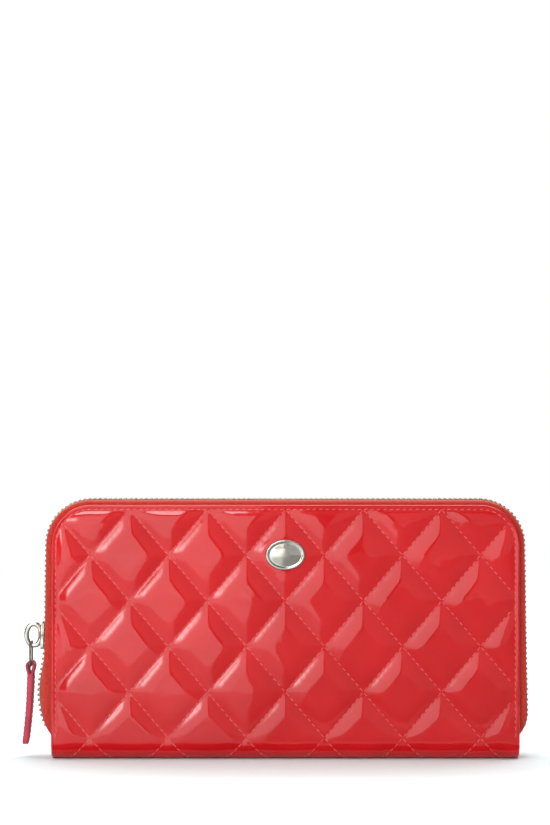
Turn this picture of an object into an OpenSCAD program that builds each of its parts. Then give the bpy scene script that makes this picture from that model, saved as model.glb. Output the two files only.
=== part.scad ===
// Zip around wallet, closed and standing on its spine.
// X runs along the spine, the front cover faces -Y and Z is up.
// The origin is the centre of the flat underside of the spine.

/* [Covers] */
// Width of each cover along the spine
cover_w = 190; // [170:1:210]
// Height of the covers above the surface that the wallet stands on
cover_h = 103.2; // [95:0.1:115]
// Radius of the two top corners of a cover
corner_r = 16; // [10:1:20]
// Thickness of the closed wallet over the quilting
wallet_t = 25; // [24:0.5:28]

/* [Layers of a cover] */
// Thickness of the quilted outer leather
leather_t = 1.2; // [0.8:0.1:1.4]
// Thickness of the foam under the quilting
foam_t = 0.8; // [0.5:0.1:1]
// Thickness of the stiffening board
board_t = 0.8; // [0.5:0.1:1]
// Thickness of the lining
lining_t = 0.5; // [0.3:0.1:0.6]
// Width of leather turned in round the edge of a cover
turn_in = 2.5; // [2:0.5:5]

/* [Spine] */
// Width of the flat underside
spine_flat_w = 12; // [10:0.5:14]
// Angle through which each cover opens before its gussets are taut
leaf_open_deg = 22; // [15:1:25]

/* [Card panels] */
// Leather plies stacked on each cover, one slot mouth on each
ply_n = 4; // [2:1:4]
// Thickness of one ply
ply_t = 0.4; // [0.3:0.05:0.4]
// Width of the card panels, two card columns
ply_w = 176; // [160:1:176]
// Height of the mouth of the deepest slot
ply_top = 84; // [70:1:88]
// Step down from one slot mouth to the next
ply_step = 12; // [8:1:14]

/* [Coin pocket] */
// Width of the coin pocket
pocket_w = 160; // [140:1:160]
// Height of the top of the coin pocket walls
pocket_top = 84; // [70:1:84]
// Thickness of the coin pocket outside its walls
pocket_t = 6; // [5.8:0.1:6.2]
// Thickness of a coin pocket wall
pocket_wall_t = 0.6; // [0.5:0.1:0.6]

/* [Gussets] */
// How far the gussets fold in from the side seams of the coin pocket
gusset_fold = 10; // [8:1:14]
// Height of the top of the gussets
gusset_top = 70; // [50:1:80]

/* [Zip] */
// How far the zip stands out past the top edge of the covers
zip_reach_top = 2.5; // [2:0.1:3]
// How far the zip stands out past the sides, just under the corners
zip_reach_side = 3.1; // [1.5:0.1:4]
// Outer radius of the zip round the top corners
zip_corner_r = 19; // [17:1:24]
// Outward lean of the straight sides of the zip, towards the spine
zip_lean = 1; // [0:0.5:2]
// Length of each straight side of the zip
zip_straight = 68.5; // [60:0.5:70]
// Radius with which the zip turns in at its ends
zip_end_r = 14; // [12:1:16]
// Angle through which the zip turns in at its ends
zip_end_turn = 45; // [30:1:50]
// Distance between the teeth of one row
tooth_pitch = 2.1; // [2:0.1:2.4]

/* [Slider] */
// Height of the middle of the slider
slider_z = 49.6; // [45:0.1:55]
// Length of the slider
slider_len = 11; // [10:0.5:12]
// Length of the leather pull below the ring
pull_len = 32; // [25:1:32]

/* [Emblem] */
// Width of the emblem
emblem_w = 15.9; // [10:0.1:20]
// Height of the emblem
emblem_h = 12.4; // [8:0.1:16]
// Height of the middle of the emblem
emblem_z = 83; // [70:0.25:85]

/* [Hidden] */

$fn = 64;
gap = 0.1;

// The covers turn about the middles of the two bends beside the flat underside.
fold_r = (wallet_t - spine_flat_w) / 2;
axis_y = spine_flat_w / 2;
axis_z = fold_r;
leaf_z0 = axis_z + fold_r * tan(leaf_open_deg) + 0.55;

// Distances of the layers from the middle plane of the wallet.
skin_y = wallet_t / 2;
foam_y = skin_y - leather_t;
board_y = foam_y - foam_t;
lining_y = board_y - board_t;
panel_y = lining_y - lining_t;
spine_foam_z = leather_t;
spine_board_z = spine_foam_z + foam_t;
spine_lining_z = spine_board_z + board_t;
spine_top = spine_lining_z + lining_t;
spine_w = cover_w - 0.8;

// Line of the outer face of the zip teeth: top, corner, leaning side, turned-in end.
zip_corner = [cover_w / 2 + zip_reach_side - zip_corner_r, cover_h + zip_reach_top - zip_corner_r];
zip_out = [cos(zip_lean), sin(zip_lean)];
zip_down = [sin(zip_lean), -cos(zip_lean)];
zip_end = zip_corner + (zip_corner_r - zip_end_r) * zip_out + zip_straight * zip_down;
tooth_h = 1.7;
tooth_w = 0.85;
tooth_root = 2.6;
tooth_tip = 0.7;
tape_t = 0.5;
tape_sunk = 0.6;
tape_flange_w = 7.5;

// The row of teeth runs half a tooth inside the outer line.
row_r = zip_corner_r - tooth_h / 2;
row_end_r = zip_end_r - tooth_h / 2;
row_top = zip_corner[0];
row_bend = row_top + row_r * PI * (90 - zip_lean) / 180;
row_side = row_bend + zip_straight;
row_len = row_side + row_end_r * PI * (zip_lean + zip_end_turn) / 180;
tooth_n = floor(row_len / tooth_pitch);

// Half-width of the open mouth of the zip below the slider, by height.
mouth = [[0, 0.3], [9, 0.5], [15, 1.3], [25, 2.2], [39, 2.1], [slider_z - 3.2, 1.75], [slider_z + 0.6, 0]];
mouth_gap = 0.3;
stop_w = 1.2;

// Slider: its plates, seen from outside, and the channel for the two rows.
slider_x = zip_corner[0] + zip_corner_r * zip_out[0]
    + (zip_corner[1] + zip_corner_r * zip_out[1] - slider_z) * tan(zip_lean);
half_len = slider_len / 2;
plate_half = [
    [2.6, half_len], [3.4, half_len - 0.9], [3.4, 0.9], [5.1, -2.6], [5.1, 0.9 - half_len], [4.2, -half_len]
];
channel_half = [[2.75, half_len + 1], [2.75, 0.7], [4.5, -2.9], [4.5, -half_len - 1]];
post_half = [[0.3, -2.9], [0.85, -3.9], [0.85, -5.1]];
plate_in = 0.25;
plate_t = 0.9;
crown_half_w = 1.7;
crown_reach = 8.2;
crown_base = 3.4;
eye_u = 4.6;
eye_r = [2.4, 3.6];

// Ring and pull: the ring hangs in the crown's eye and the leather is folded round its foot.
wire_r = 0.4;
ring_x = slider_x + eye_u + 0.75;
ring_z = slider_z - eye_r[1] + wire_r + 0.3;
ring_drop = 9.5;
ring_half_w = 5;
ring_corner = 1;
pull_z = ring_z - ring_drop;
pull_half_w = 3.8;
pull_t = 2.8;
pull_tip_t = 2.4;
head_r = 2.1;
pull_sweep = 2.2;

// Side gussets: the leather, and how far the hem lies inside the cover's side.
gusset_t = 0.5;
gusset_hem_in = 5.7;

// Coin pocket and its zip.
wall_y = pocket_t / 2;
pocket_in = wall_y - pocket_wall_t;
coin_pitch = 1.6;
coin_tooth = [0.7, 1.7, 1.2];
coin_root = 1.2;
coin_row = [-69, 72];
coin_slider_x = -68;
coin_row_z = pocket_top - 0.2;
coin_pull_len = 14;
coin_pin_z = coin_row_z + 3.2;
pocket_seam_w = 1;
pocket_floor_t = 0.8;
coin_tape_t = 0.35;
coin_tape_in = 3;
coin_flange = [9, 9.55];
coin_plate = [7.2, 4, 0.7];
coin_under_w = 3.2;
coin_plate_gap = 0.15;
coin_post = [1.8, 1, 2];
coin_crown_r = 2.4;
coin_crown_w = 1.8;
coin_eye_r = 1.3;
coin_pin_r = 0.45;
coin_pull_w = 4;
coin_pull_t = 0.9;
coin_cheek = [5, 0.7];
coin_cheek_y = 1.3;
coin_bar_x = 3.4;

// Emblem.
emblem_t = 0.7;
emblem_dome_t = 0.7;
emblem_rim = 1.7;
prong_r = 0.6;
prong_x = 4;
washer_r = 1.8;
washer_t = 0.4;

function reversed(list) = [for (i = [len(list) - 1 : -1 : 0]) list[i]];
function flipped(points) = [for (p = reversed(points)) [-p[0], p[1]]];
function arc(c, r, from, to, n) =
    [for (i = [0 : n]) let (a = from + (to - from) * i / n) c + r * [cos(a), sin(a)]];
function oval(w, h, n) = [for (i = [0 : n - 1]) [w / 2 * cos(360 * i / n), h / 2 * sin(360 * i / n)]];

// Right half of the zip's outer line, moved inwards by d, and the whole line.
function zip_half(d) = concat(
    arc(zip_corner, zip_corner_r - d, 90, zip_lean, 14),
    arc(zip_end, zip_end_r - d, zip_lean, -zip_end_turn, 6)
);
function zip_line(d) = concat(flipped(zip_half(d)), zip_half(d));

// Place of the row of teeth at distance q from the middle of the top: [x, z, angle outwards].
function row_half(q) =
    q < row_top ? [q, zip_corner[1] + row_r, 90] :
    q < row_bend ? let (a = 90 - (q - row_top) / row_r * 180 / PI)
        [zip_corner[0] + row_r * cos(a), zip_corner[1] + row_r * sin(a), a] :
    q < row_side ? let (p = zip_corner + row_r * zip_out + (q - row_bend) * zip_down)
        [p[0], p[1], zip_lean] :
    let (a = zip_lean - (q - row_side) / row_end_r * 180 / PI)
        [zip_end[0] + row_end_r * cos(a), zip_end[1] + row_end_r * sin(a), a];
function row_at(s) = let (p = row_half(abs(s))) s < 0 ? [-p[0], p[1], 180 - p[2]] : p;

// Turns a front piece into its twin on the back.
module on_back() {
    mirror([0, 1, 0]) children();
}

// Extrudes an outline drawn in X and Z from y_out to y_in in front of the middle plane.
module between(y_out, y_in) {
    translate([0, -y_in, 0]) rotate([90, 0, 0]) linear_extrude(y_out - y_in) children();
}

// Extrudes an outline drawn in Y and Z over a width centred on X.
module along_x(w) {
    rotate([90, 0, 90]) linear_extrude(w, center = true) children();
}

// Upright panel with two round top corners.
module panel(w, z_low, z_high, r) {
    translate([-w / 2, z_low]) square([w, z_high - z_low - r]);
    translate([r - w / 2, z_low]) square([w - 2 * r, z_high - z_low]);
    for (side = [-1, 1]) translate([side * (w / 2 - r), z_high - r]) circle(r);
}

module inner_panel() {
    panel(cover_w - 2 * turn_in, leaf_z0, cover_h - turn_in, corner_r - turn_in);
}

// Bend of one layer from the spine up to the cover, drawn about the turning axis.
module fold_2d(r, t) {
    translate([-axis_y, axis_z]) {
        intersection() {
            difference() {
                circle(r);
                circle(r - t);
            }
            translate([-2 * r, -2 * r]) square(2 * r);
        }
        translate([-r, 0]) square([t, leaf_z0 - axis_z]);
    }
}

module spine_layer(z, t) {
    translate([-spine_w / 2, -axis_y, z]) cube([spine_w, spine_flat_w, t]);
}

module spine_leather() {
    color("firebrick") spine_layer(0, leather_t);
}

module spine_foam() {
    color("khaki") spine_layer(spine_foam_z, foam_t);
}

module spine_board() {
    color("tan") spine_layer(spine_board_z, board_t);
}

module spine_lining() {
    color("indianred") spine_layer(spine_lining_z, lining_t);
}

module front_fold_leather() {
    color("firebrick") along_x(spine_w) fold_2d(fold_r, leather_t);
}

module front_fold_lining() {
    color("indianred") along_x(spine_w) fold_2d(fold_r - spine_lining_z, lining_t);
}

// Side gusset, folded inwards between the cover and the coin pocket.
module gusset_front_right() {
    half = gusset_t / 2;
    hem = [cover_w / 2 - gusset_hem_in, gap + tape_t - panel_y];
    bend = [ply_w / 2 + 0.6, 0.5 + ply_n * ply_t - panel_y];
    fold = [pocket_w / 2 - gusset_fold, -(wall_y + panel_y - ply_n * ply_t) / 2];
    seam = [pocket_w / 2 + 0.6, -wall_y - gap];
    color("brown") translate([0, 0, axis_z]) linear_extrude(gusset_top - axis_z)
        polygon([
            hem - [half, 0], bend - [0.3, 0.2], fold - [0.4, 0.15], fold - [0.4, -0.25],
            seam - [half, 0], seam + [half, 0], fold + [0.9, 0.1], bend + [0.3, 0.2], hem + [half, 0]
        ]);
}

module cover_leather() {
    difference() {
        between(skin_y, lining_y) panel(cover_w, leaf_z0, cover_h, corner_r);
        between(foam_y, lining_y) inner_panel();
    }
}

module front_cover_leather() {
    color("crimson") difference() {
        cover_leather();
        prongs(prong_r + gap);
    }
}

module foam_pad() {
    between(foam_y, board_y) inner_panel();
}

module front_foam_pad() {
    color("khaki") difference() {
        foam_pad();
        washer_places(washer_r + gap);
    }
}

module front_cover_board() {
    color("tan") between(board_y, lining_y) inner_panel();
}

module front_lining() {
    color("indianred") between(lining_y, panel_y) panel(cover_w - 1, leaf_z0, cover_h - 0.5, corner_r - 0.5);
}

// Card plies: the first reaches highest and lies against the lining.
module front_card_ply(k) {
    y = panel_y - (k - 1) * ply_t;
    top = ply_top - (k - 1) * ply_step;
    color(k % 2 == 0 ? "firebrick" : "crimson") between(y, y - ply_t) panel(ply_w, leaf_z0, top, 3);
}

// Zip tape: a flange sewn inside the cover's edge and a web that reaches in to the teeth.
module front_zip_tape() {
    color("orangered") difference() {
        union() {
            between(panel_y, panel_y - tape_t)
                polygon(concat(zip_line(tape_sunk), reversed(zip_line(tape_sunk + tape_flange_w))));
            between(panel_y, tooth_root)
                polygon(concat(zip_line(tape_sunk), reversed(zip_line(tape_sunk + tape_t))));
        }
        translate([-cover_w / 2, 0, 0]) along_x(30) polygon(concat(
            [for (m = mouth) [-tooth_root - mouth_gap - m[1], m[0]]],
            [[0, slider_z + 0.6], [0, -1], [-tooth_root - mouth_gap, -1]]
        ));
    }
}

// One metal tooth at distance s along the row.
module tooth(s) {
    p = row_at(s);
    apart = s < 0 ? lookup(p[1], mouth) : 0;
    translate([p[0], -apart, p[1]]) rotate([0, -p[2], 0])
        translate([-tooth_h / 2, -tooth_root, -tooth_w / 2])
            cube([tooth_h, tooth_root + tooth_tip, tooth_w]);
}

module front_zip_teeth() {
    color("goldenrod") for (k = [-tooth_n + 1 : tooth_n - 1]) tooth(k * tooth_pitch);
}

module back_zip_teeth() {
    color("goldenrod") on_back() for (k = [-tooth_n + 1 : tooth_n - 2]) tooth((k + 0.5) * tooth_pitch);
}

// Metal stops clamped at the two ends of a row.
module front_zip_stops() {
    color("goldenrod") for (end = [-1, 1]) {
        p = row_at(end * (row_len - stop_w / 2));
        translate([p[0], end < 0 ? -0.5 : 0, p[1]]) rotate([0, -p[2], 0])
            translate([-tooth_h / 2, -tooth_root, -stop_w / 2]) cube([tooth_h, tooth_root - gap, stop_w]);
    }
}

// Coin pocket.
module coin_pocket_front_wall() {
    color("crimson") between(wall_y, pocket_in) panel(pocket_w, spine_top, pocket_top, 2);
}

module coin_pocket_seam(side) {
    color("firebrick") translate([side * (pocket_w - pocket_seam_w) / 2, 0, spine_top + pocket_floor_t])
        translate([-pocket_seam_w / 2, -pocket_in, 0])
            cube([pocket_seam_w, 2 * pocket_in, pocket_top - 3 - spine_top]);
}

module coin_pocket_floor() {
    color("firebrick") translate([-pocket_w / 2, -pocket_in, spine_top])
        cube([pocket_w, 2 * pocket_in, pocket_floor_t]);
}

module coin_zip_tape_front() {
    web_z = pocket_top + 0.2;
    tape_len = pocket_w - 2 * coin_tape_in;
    color("orangered") translate([-tape_len / 2, -pocket_in, 0]) {
        translate([0, 0, pocket_top - coin_flange[0]]) cube([tape_len, coin_tape_t, coin_flange[1]]);
        translate([0, 0, web_z]) cube([tape_len, pocket_in - coin_root, coin_tape_t]);
    }
}

module coin_zip_teeth() {
    n = floor((coin_row[1] - coin_row[0]) / coin_pitch);
    color("goldenrod") for (k = [0 : n], row = [0, 1]) {
        x = coin_row[0] + (k + row / 2) * coin_pitch;
        translate([x, row == 0 ? -coin_root : coin_root - coin_tooth[1], coin_row_z])
            cube(coin_tooth);
    }
}

// Two plates joined by a post that parts the two rows of teeth.
module coin_slider_body() {
    color("silver") translate([coin_slider_x, 0, coin_row_z]) {
        translate([-coin_plate[0] / 2, -coin_plate[1] / 2, coin_tooth[2] + coin_plate_gap]) cube(coin_plate);
        translate([-coin_plate[0] / 2, -coin_under_w / 2, -coin_plate_gap - coin_plate[2]])
            cube([coin_plate[0], coin_under_w, coin_plate[2]]);
        translate([0.2 - coin_plate[0] / 2, -coin_post[1] / 2, -0.5]) cube(coin_post);
    }
}

module coin_slider_crown() {
    base = coin_tooth[2] + coin_plate_gap + coin_plate[2];
    pin = coin_pin_z - coin_row_z;
    color("silver") translate([coin_slider_x, 0, coin_row_z]) difference() {
        translate([0, coin_crown_w / 2, 0]) rotate([90, 0, 0]) linear_extrude(coin_crown_w) union() {
            translate([-coin_crown_r, base]) square([2 * coin_crown_r, pin - base]);
            translate([0, pin]) intersection() {
                circle(coin_crown_r);
                translate([-3, 0]) square([6, 3]);
            }
        }
        translate([0, 2, pin]) rotate([90, 0, 0]) cylinder(r = coin_eye_r, h = 4);
    }
}

// Small pull: a pin through the crown's eye, two cheeks and a leather-width bar.
module coin_pull() {
    color("silver") translate([coin_slider_x, 0, coin_pin_z]) {
        translate([0, coin_pull_w / 2, 0]) rotate([90, 0, 0]) cylinder(r = coin_pin_r, h = coin_pull_w);
        for (side = [-1, 1])
            translate([-0.6, side * (coin_cheek_y + coin_cheek[1] / 2) - coin_cheek[1] / 2, -coin_pull_t / 2])
                cube([coin_cheek[0], coin_cheek[1], coin_pull_t]);
        translate([coin_bar_x, -coin_pull_w / 2, -coin_pull_t / 2])
            cube([coin_pull_len - coin_bar_x, coin_pull_w, coin_pull_t]);
    }
}

// Emblem: a plain oval plaque with a raised middle, held by two prongs and washers.
module prongs(r) {
    for (side = [-1, 1]) translate([side * prong_x, -foam_y + washer_t, emblem_z]) rotate([90, 0, 0])
        cylinder(r = r, h = leather_t + washer_t);
}

module washer_places(r) {
    for (side = [-1, 1]) translate([side * prong_x, -board_y, emblem_z]) rotate([90, 0, 0])
        cylinder(r = r, h = foam_t);
}

module emblem_plaque() {
    color("silver") {
        translate([0, 0, emblem_z]) between(skin_y + emblem_t, skin_y)
            polygon(oval(emblem_w, emblem_h, 64));
        translate([0, 0, emblem_z]) between(skin_y + emblem_t + emblem_dome_t, skin_y + emblem_t)
            polygon(oval(emblem_w - 2 * emblem_rim, emblem_h - 2 * emblem_rim, 64));
        prongs(prong_r);
    }
}

module emblem_washer() {
    color("silver") difference() {
        for (side = [-1, 1]) translate([side * prong_x, -foam_y + washer_t, emblem_z])
            rotate([90, 0, 0]) cylinder(r = washer_r, h = washer_t);
        prongs(prong_r + gap / 2);
    }
}

// Moves a slider piece, drawn with X outwards and Z along the zip, to the left side.
module at_slider() {
    mirror([1, 0, 0]) translate([slider_x, 0, slider_z]) rotate([0, -zip_lean, 0]) children();
}

// Extrudes an outline drawn in Y and Z outwards from u0 to u1.
module outwards(u0, u1) {
    translate([u0, 0, 0]) rotate([90, 0, 90]) linear_extrude(u1 - u0) children();
}

module both_halves(points) {
    polygon(concat(points, flipped(points)));
}

module slider_flanges() {
    difference() {
        both_halves(plate_half);
        both_halves(channel_half);
    }
}

module slider_body() {
    inner = -tooth_h - plate_in;
    color("gainsboro") at_slider() {
        outwards(plate_in, plate_in + plate_t) both_halves(plate_half);
        outwards(inner - plate_t, inner) both_halves(plate_half);
        outwards(-tape_sunk + 0.2, plate_in + plate_t / 2) slider_flanges();
        outwards(inner - plate_t / 2, -tape_sunk - tape_t - 0.2) slider_flanges();
        outwards(inner - plate_t / 2, plate_in + plate_t / 2) both_halves(post_half);
    }
}

// Round loop on the slider that the ring hangs in.
module slider_crown() {
    base = plate_in + plate_t;
    color("whitesmoke") at_slider() rotate([90, 0, 0])
        translate([0, 0, -crown_half_w]) linear_extrude(2 * crown_half_w) difference() {
            union() {
                translate([base, 0.5 - half_len]) square([crown_base - base, slider_len - 1]);
                intersection() {
                    translate([crown_base, 0])
                        polygon(oval(2 * (crown_reach - crown_base), slider_len - 0.4, 48));
                    translate([crown_base - 0.1, -slider_len]) square(2 * slider_len);
                }
            }
            translate([eye_u, 0]) polygon(oval(2 * eye_r[0], 2 * eye_r[1], 36));
        }
}

// Wire ring: two bars, two sides and four round corners.
module pull_ring() {
    straight = ring_half_w - ring_corner;
    color("silver") translate([-ring_x, 0, ring_z]) {
        for (z = [0, -ring_drop]) translate([0, straight, z]) rotate([90, 0, 0])
            cylinder(r = wire_r, h = 2 * straight);
        for (side = [-1, 1]) {
            translate([0, side * ring_half_w, ring_corner - ring_drop])
                cylinder(r = wire_r, h = ring_drop - 2 * ring_corner);
            for (up = [0, 1])
                translate([0, side * straight, up == 1 ? -ring_corner : ring_corner - ring_drop])
                rotate([0, 90, 0]) rotate([0, 0, 90 * (side > 0 ? up : 3 - up)])
                    rotate_extrude(angle = 90, start = 0) translate([ring_corner, 0]) circle(wire_r);
        }
    }
}

// Leather pull: a strip folded round the foot of the ring and curved to its tip.
module pull_tab() {
    n = 10;
    edge = [for (i = [0 : n]) let (f = i / n) [-pull_sweep * f * f, -f * pull_len]];
    half_t = [for (i = [0 : n]) (pull_t + (pull_tip_t - pull_t) * i / n) / 2];
    color("crimson") translate([-ring_x, 0, pull_z]) rotate([90, 0, 0])
        translate([0, 0, -pull_half_w]) linear_extrude(2 * pull_half_w) difference() {
            union() {
                circle(head_r);
                polygon(concat(
                    [for (i = [0 : n]) edge[i] - [half_t[i], 0]],
                    [for (i = [n : -1 : 0]) edge[i] + [half_t[i], 0]]
                ));
            }
            circle(wire_r + 0.08);
        }
}

spine_leather();
spine_foam();
spine_board();
spine_lining();
front_fold_leather();
on_back() front_fold_leather();  // back_fold_leather
front_fold_lining();
on_back() front_fold_lining();  // back_fold_lining
mirror([1, 0, 0]) gusset_front_right();  // gusset_front_left
gusset_front_right();
on_back() mirror([1, 0, 0]) gusset_front_right();  // gusset_back_left
on_back() gusset_front_right();  // gusset_back_right
coin_pocket_front_wall();
on_back() coin_pocket_front_wall();  // coin_pocket_back_wall
coin_pocket_seam(-1);  // coin_pocket_left_seam
coin_pocket_seam(1);  // coin_pocket_right_seam
coin_pocket_floor();
coin_zip_tape_front();
on_back() coin_zip_tape_front();  // coin_zip_tape_back
coin_zip_teeth();
coin_slider_body();
coin_slider_crown();
coin_pull();
front_cover_leather();
front_foam_pad();
front_cover_board();
front_lining();
front_card_ply(1);  // front_card_ply_1
front_card_ply(2);  // front_card_ply_2
front_card_ply(3);  // front_card_ply_3
front_card_ply(4);  // front_card_ply_4
front_zip_tape();
front_zip_teeth();
front_zip_stops();
color("crimson") on_back() cover_leather();  // back_cover_leather
color("khaki") on_back() foam_pad();  // back_foam_pad
on_back() front_cover_board();  // back_cover_board
on_back() front_lining();  // back_lining
on_back() front_card_ply(1);  // back_card_ply_1
on_back() front_card_ply(2);  // back_card_ply_2
on_back() front_card_ply(3);  // back_card_ply_3
on_back() front_card_ply(4);  // back_card_ply_4
on_back() front_zip_tape();  // back_zip_tape
back_zip_teeth();
on_back() front_zip_stops();  // back_zip_stops
emblem_plaque();
emblem_washer();
slider_body();
slider_crown();
pull_ring();
pull_tab();
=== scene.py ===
"""Zip around wallet in quilted patent leather, dressed around its CAD frame.

Lengths are in millimetres and become metres when a mesh is made. Each cover is a sheet that starts at the
middle of the spine: x runs along the spine, t up the leather from the middle of the underside, round the
bend and up the cover, and depth goes into the wallet from the outer face of the CAD cover.
"""

import math

import bmesh
import bpy
import numpy as np
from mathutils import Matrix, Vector


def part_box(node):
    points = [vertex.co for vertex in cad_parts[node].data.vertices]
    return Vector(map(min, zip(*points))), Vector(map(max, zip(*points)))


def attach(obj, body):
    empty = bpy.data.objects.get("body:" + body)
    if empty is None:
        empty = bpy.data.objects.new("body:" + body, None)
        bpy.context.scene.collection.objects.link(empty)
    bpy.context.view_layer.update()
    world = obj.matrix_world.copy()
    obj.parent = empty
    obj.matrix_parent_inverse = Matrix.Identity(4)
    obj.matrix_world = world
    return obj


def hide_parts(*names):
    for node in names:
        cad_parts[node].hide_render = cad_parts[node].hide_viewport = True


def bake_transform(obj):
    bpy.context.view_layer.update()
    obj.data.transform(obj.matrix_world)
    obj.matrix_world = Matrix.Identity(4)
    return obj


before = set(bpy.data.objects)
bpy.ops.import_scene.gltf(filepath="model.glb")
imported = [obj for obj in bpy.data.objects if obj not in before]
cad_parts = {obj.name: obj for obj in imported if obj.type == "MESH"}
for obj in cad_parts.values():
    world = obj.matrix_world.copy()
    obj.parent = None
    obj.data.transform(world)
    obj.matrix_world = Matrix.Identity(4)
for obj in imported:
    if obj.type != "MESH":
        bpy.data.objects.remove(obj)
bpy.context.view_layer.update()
scene = bpy.context.scene
MM = 0.001
PI = math.pi
FRONT, BACK = -1, 1
SIDES = {FRONT: "front", BACK: "back"}


def node_box(node):
    """Lowest and highest corner of a CAD node, in millimetres."""
    low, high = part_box(node)
    return np.array(low) / MM, np.array(high) / MM


# ---------------------------------------------------------------- sizes from the frame
cover_low, cover_high = node_box("front_cover_leather")
emblem_low, emblem_high = node_box("emblem_plaque")
ring_low, ring_high = node_box("pull_ring")
tab_low, tab_high = node_box("pull_tab")
HALF_W = cover_high[0]
TOP = cover_high[2]
LEAF_Z = cover_low[2]
SKIN = -cover_low[1]
FLAT = node_box("spine_leather")[1][1]
FOLD_R = SKIN - FLAT
BEND = FOLD_R * PI / 2
T_TOP = FLAT + BEND + TOP - FOLD_R
CORNER_R = 16.0
BACK_OF_COVER = SKIN + cover_high[1]
PANEL_Y = -node_box("front_lining")[1][1]

# Quilting: half the width and height of a diamond, then depths, reaches and the uneven hand of the maker.
QUILT_A = HALF_W / 6
QUILT_B = T_TOP / 6.1
QUILT_SIDE = math.hypot(QUILT_A, QUILT_B)
QUILT_WIDTH = 2 * QUILT_A * QUILT_B / QUILT_SIDE
SIDE_STITCHES = 9
SEAM_DEPTH = 1.3
CREST = -0.12
PUFF_REACH = 7.5
UNEVEN = 0.10
PUCKER, PUCKER_AT, PUCKER_REACH = 0.05, 1.2, 0.9
BORDER_DEPTH, BORDER_FLAT = 0.75, 0.8
EDGE_STITCH = 1.75
EDGE_ROUND = 0.7
GRID_COLS, GRID_ROWS = 281, 165

# Emblem: its place and size on the front cover.
EMBLEM_X = 0.0
EMBLEM_Z = (emblem_low[2] + emblem_high[2]) / 2
EMBLEM_W = emblem_high[0] - emblem_low[0]
EMBLEM_H = emblem_high[2] - emblem_low[2]
EMBLEM_T = EMBLEM_Z - FOLD_R + FLAT + BEND

# Zip line: the outer face of the teeth.
ZIP_R = 19.0
ZIP_LEAN = math.radians(1)
ZIP_STRAIGHT = 68.5
ZIP_END_R = 14.0
ZIP_END_TURN = math.radians(45)
ZIP_C = np.array([HALF_W + 3.1 - ZIP_R, node_box("front_zip_teeth")[1][2] - ZIP_R])
ZIP_TURN = ZIP_R * (PI / 2 - ZIP_LEAN)
ZIP_LENGTH = ZIP_C[0] + ZIP_TURN + ZIP_STRAIGHT + ZIP_END_R * (ZIP_END_TURN + ZIP_LEAN)
TOOTH_PITCH = 2.1
TOOTH_H = 1.7
TOOTH_ROOT = 2.6

# The open mouth below the slider: height up the zip against each row's distance from the middle.
MOUTH_Z = [0, 9, 15, 25, 39, 46.4, 50.2]
MOUTH_Y = [0.3, 0.5, 1.3, 2.2, 2.1, 1.75, 0]
BULGE, BULGE_LOW, BULGE_SPAN = 2.0, 10, 35


# ---------------------------------------------------------------- mesh helpers
def mesh_object(name, points, faces, material, smooth=True):
    mesh = bpy.data.meshes.new(name)
    mesh.from_pydata((np.asarray(points, float) * MM).tolist(), [], faces)
    mesh.update()
    mesh.polygons.foreach_set("use_smooth", [smooth] * len(mesh.polygons))
    mesh.materials.append(material)
    obj = bpy.data.objects.new(name, mesh)
    scene.collection.objects.link(obj)
    return obj


def outwards(obj):
    """Makes the faces of a closed piece look outwards."""
    work = bmesh.new()
    work.from_mesh(obj.data)
    bmesh.ops.recalc_face_normals(work, faces=work.faces)
    work.to_mesh(obj.data)
    work.free()
    obj.data.polygons.foreach_set("use_smooth", [True] * len(obj.data.polygons))
    return obj


def finish_mesh(obj, bevel=0.0, segments=3, subdivide=0):
    """Applies a bevel and a subdivision to a piece's mesh."""
    if bevel:
        step = obj.modifiers.new("bevel", "BEVEL")
        step.width = bevel * MM
        step.segments = segments
        step.limit_method = "ANGLE"
        step.angle_limit = math.radians(35)
    if subdivide:
        step = obj.modifiers.new("subdivide", "SUBSURF")
        step.levels = subdivide
        step.render_levels = subdivide
    bpy.context.view_layer.update()
    shaped = bpy.data.meshes.new_from_object(obj.evaluated_get(bpy.context.evaluated_depsgraph_get()))
    obj.modifiers.clear()
    obj.data = shaped
    return outwards(obj)


def wear(piece, body, slot, *nodes):
    """Puts a piece on its body and hides the CAD nodes that it stands for; the slot argument is not used."""
    if body:
        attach(piece, body)
    if nodes:
        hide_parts(*nodes)
    return piece


def grid_faces(rows, cols, start=0, flip=False, close_rows=False, close_cols=False):
    faces = []
    for i in range(rows if close_rows else rows - 1):
        for j in range(cols if close_cols else cols - 1):
            a = start + i * cols + j
            b = start + i * cols + (j + 1) % cols
            c = start + (i + 1) % rows * cols + (j + 1) % cols
            d = start + (i + 1) % rows * cols + j
            faces.append((a, d, c, b) if flip else (a, b, c, d))
    return faces


def capped_faces(rows, cols, start=0):
    """Faces of a tube of rows of points, with a cap on each end."""
    last = start + (rows - 1) * cols
    caps = [tuple(range(start, start + cols))[::-1], tuple(range(last, last + cols))]
    return grid_faces(rows, cols, start, close_cols=True) + caps


def join_parts(name, parts, material):
    """One piece from several (points, faces) parts."""
    points, faces, start = [], [], 0
    for part_points, part_faces in parts:
        points.append(np.asarray(part_points, float))
        faces += [tuple(i + start for i in face) for face in part_faces]
        start += len(part_points)
    return mesh_object(name, np.concatenate(points), faces, material)


def closed_sheet(name, top, under, material):
    """A closed sheet from two grids of points of the same size, joined round their borders."""
    rows, cols = top.shape[:2]
    n = rows * cols
    border = list(range(cols)) + [i * cols + cols - 1 for i in range(1, rows)]
    border += [(rows - 1) * cols + j for j in range(cols - 2, -1, -1)]
    border += [i * cols for i in range(rows - 2, 0, -1)]
    after = border[1:] + border[:1]
    faces = grid_faces(rows, cols) + grid_faces(rows, cols, start=n, flip=True)
    faces += [(a, n + a, n + b, b) for a, b in zip(border, after)]
    points = np.concatenate([top.reshape(-1, 3), under.reshape(-1, 3)])
    return outwards(mesh_object(name, points, faces, material))


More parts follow.
